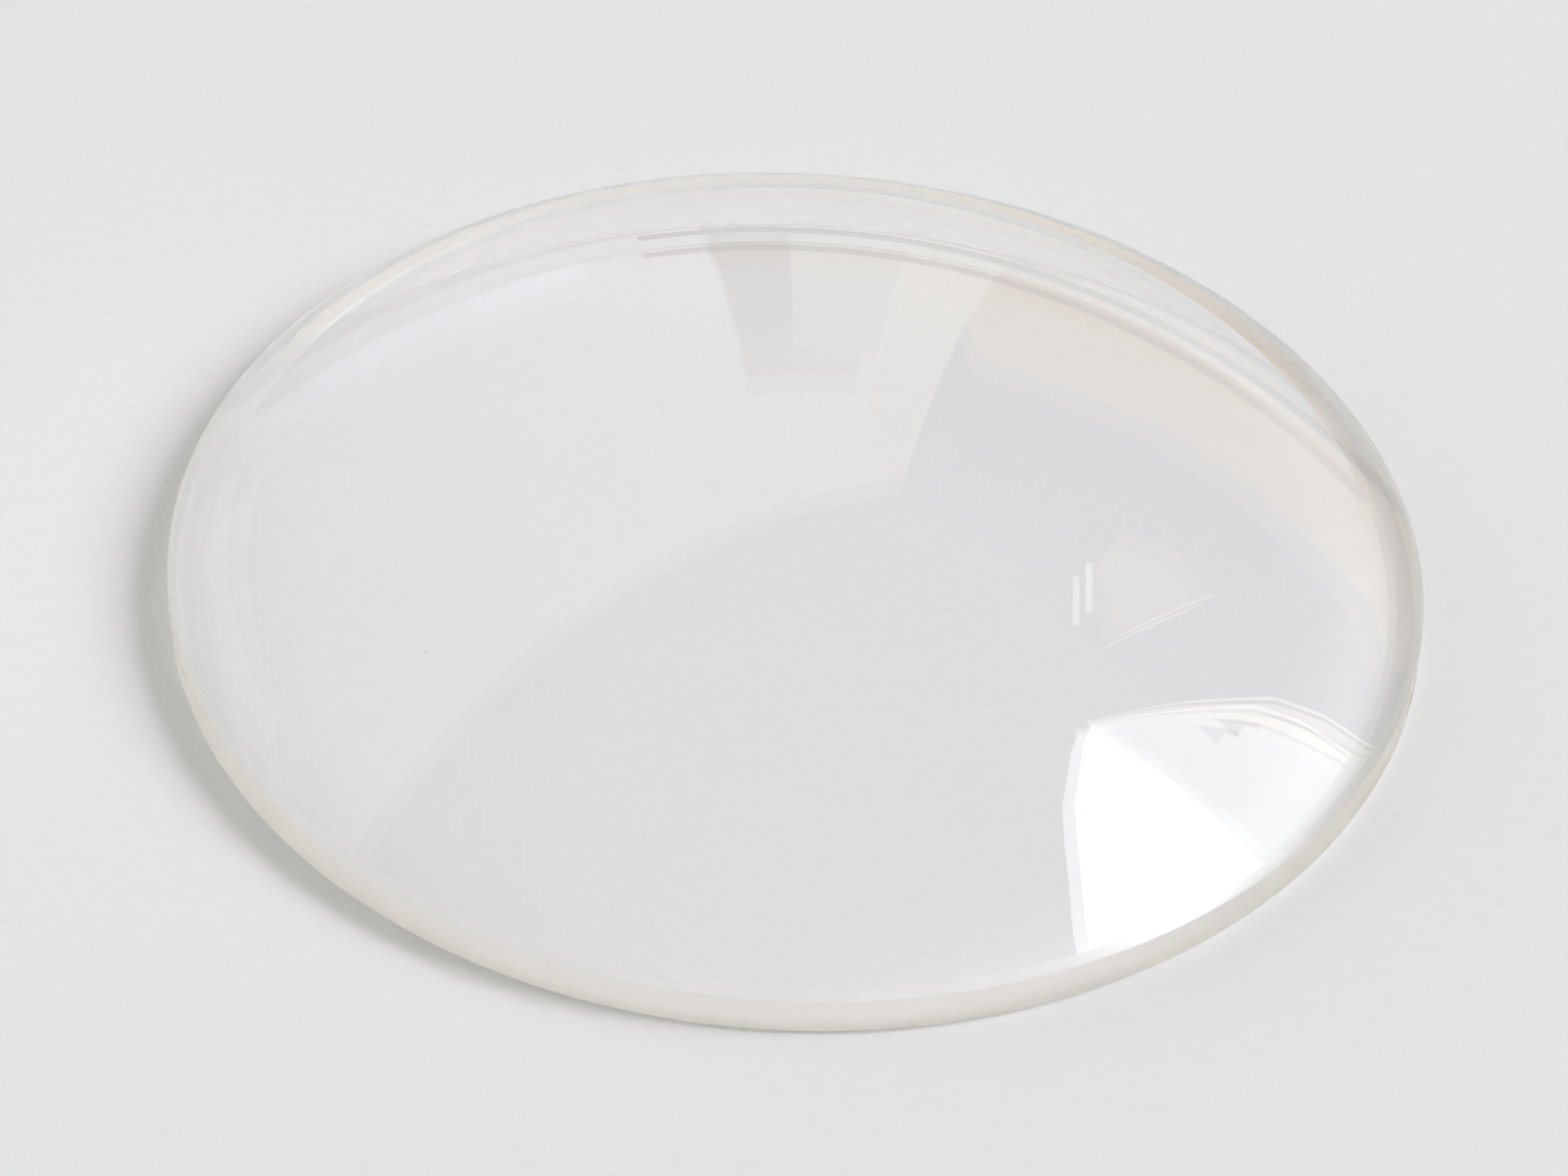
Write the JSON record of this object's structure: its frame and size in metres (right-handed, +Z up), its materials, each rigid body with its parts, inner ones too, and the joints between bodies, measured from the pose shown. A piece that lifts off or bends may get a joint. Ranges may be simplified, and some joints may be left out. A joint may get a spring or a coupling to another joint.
{
  "type": "watch glass",
  "caption": "Shallow round dome of clear glass with a finely ground edge, a beaker cover and a dish for weighing or evaporating.",
  "frame": {"origin": "centre of the circle that the rim stands on, in the plane of the base", "axes": "+Z up along the dome's axis of symmetry, through the middle of the convex face; X and Y lie in the base plane and are alike, with the pictured side towards -Y"},
  "size_m": [0.05, 0.05, 0.0094],
  "materials": {
    "clear_glass": "polished faces with a finely ground satin edge and bevels"
  },
  "bodies": {
    "root": {"watch_glass": "clear_glass"}
  },
  "joints": []
}
